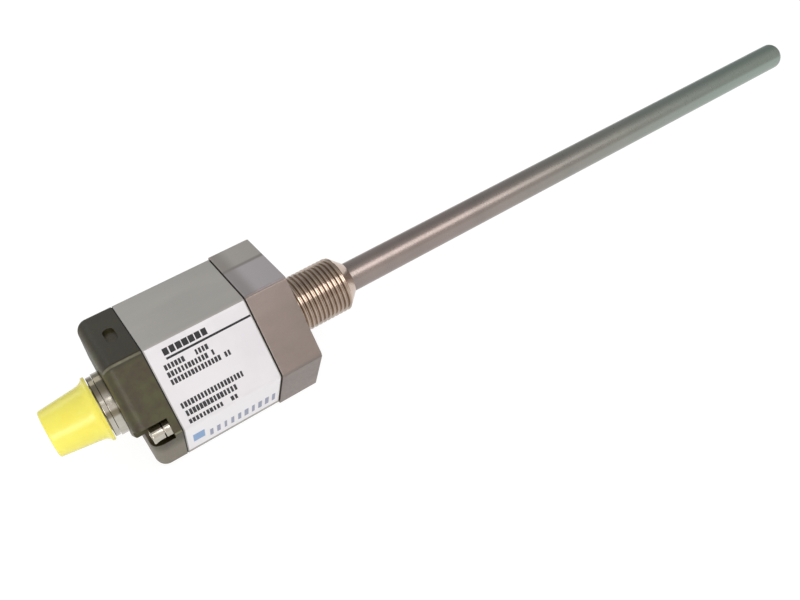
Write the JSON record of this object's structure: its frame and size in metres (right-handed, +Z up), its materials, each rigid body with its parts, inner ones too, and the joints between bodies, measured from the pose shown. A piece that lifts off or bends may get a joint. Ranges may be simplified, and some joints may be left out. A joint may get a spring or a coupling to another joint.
{
  "type": "magnetostrictive position sensor",
  "caption": "Rod-type linear position sensor: threaded hexagon flange with a long sensing rod, sealed electronics housing and capped round connector.",
  "frame": {"origin": "on the rod's axis, in the plane of the flange's mounting face", "axes": "+X along the rod towards its tip, +Z up through a flat of the hexagon"},
  "size_m": [0.3207, 0.0524, 0.046],
  "materials": {
    "flange_steel": "machined stainless steel, warm grey",
    "rod_steel": "drawn stainless tube, satin",
    "nickel_iron": "bare nickel-iron",
    "plated_screw": "bright nickel plate",
    "nickel_plate": "bright nickel plate",
    "brass_block": "plain brass",
    "copper": "copper",
    "tinned_pin": "tinned",
    "gold_pin": "gold flash",
    "anodised_aluminium": "matt grey anodised",
    "dark_cast_metal": "dark olive-grey coated casting, satin",
    "black_rubber": "matt",
    "white_plastic": "plain",
    "black_plastic": "plain",
    "board_green": "solder mask",
    "label_film": "white polyester film, slight gloss",
    "yellow_plastic": "soft yellow plastic, slightly see-through"
  },
  "bodies": {
    "sensor": {"hex_flange": "flange_steel", "probe_tube": "rod_steel", "probe_tip": "rod_steel", "waveguide": "nickel_iron", "waveguide_sleeve": "white_plastic", "damping_element": "black_rubber", "return_wire": "copper", "coil_bobbin": "white_plastic", "pickup_coil": "copper", "coil_pins": "tinned_pin", "coil_shield": "nickel_iron", "waveguide_anchor": "brass_block", "housing_profile": "anodised_aluminium", "flange_gasket": "black_rubber", "cap_gasket": "black_rubber", "end_cap": "dark_cast_metal", "cover_screws": "plated_screw", "screw_collars": "plated_screw", "connector_shell": "nickel_plate", "connector_ring": "nickel_plate", "connector_seal": "black_rubber", "connector_nut": "nickel_plate", "connector_insert": "black_plastic", "connector_pins": "gold_pin", "connector_board": "board_green", "circuit_board": "board_green", "link_pins": "gold_pin", "board_components": "black_plastic", "label": "label_film"},
    "dust_cover": {"dust_cap": "yellow_plastic"}
  },
  "joints": [
    {"name": "dust_cap_pull", "type": "slide", "parent": "sensor", "child": "dust_cover", "axis": [-1, 0, 0], "range_m": [0, 0.012]}
  ]
}
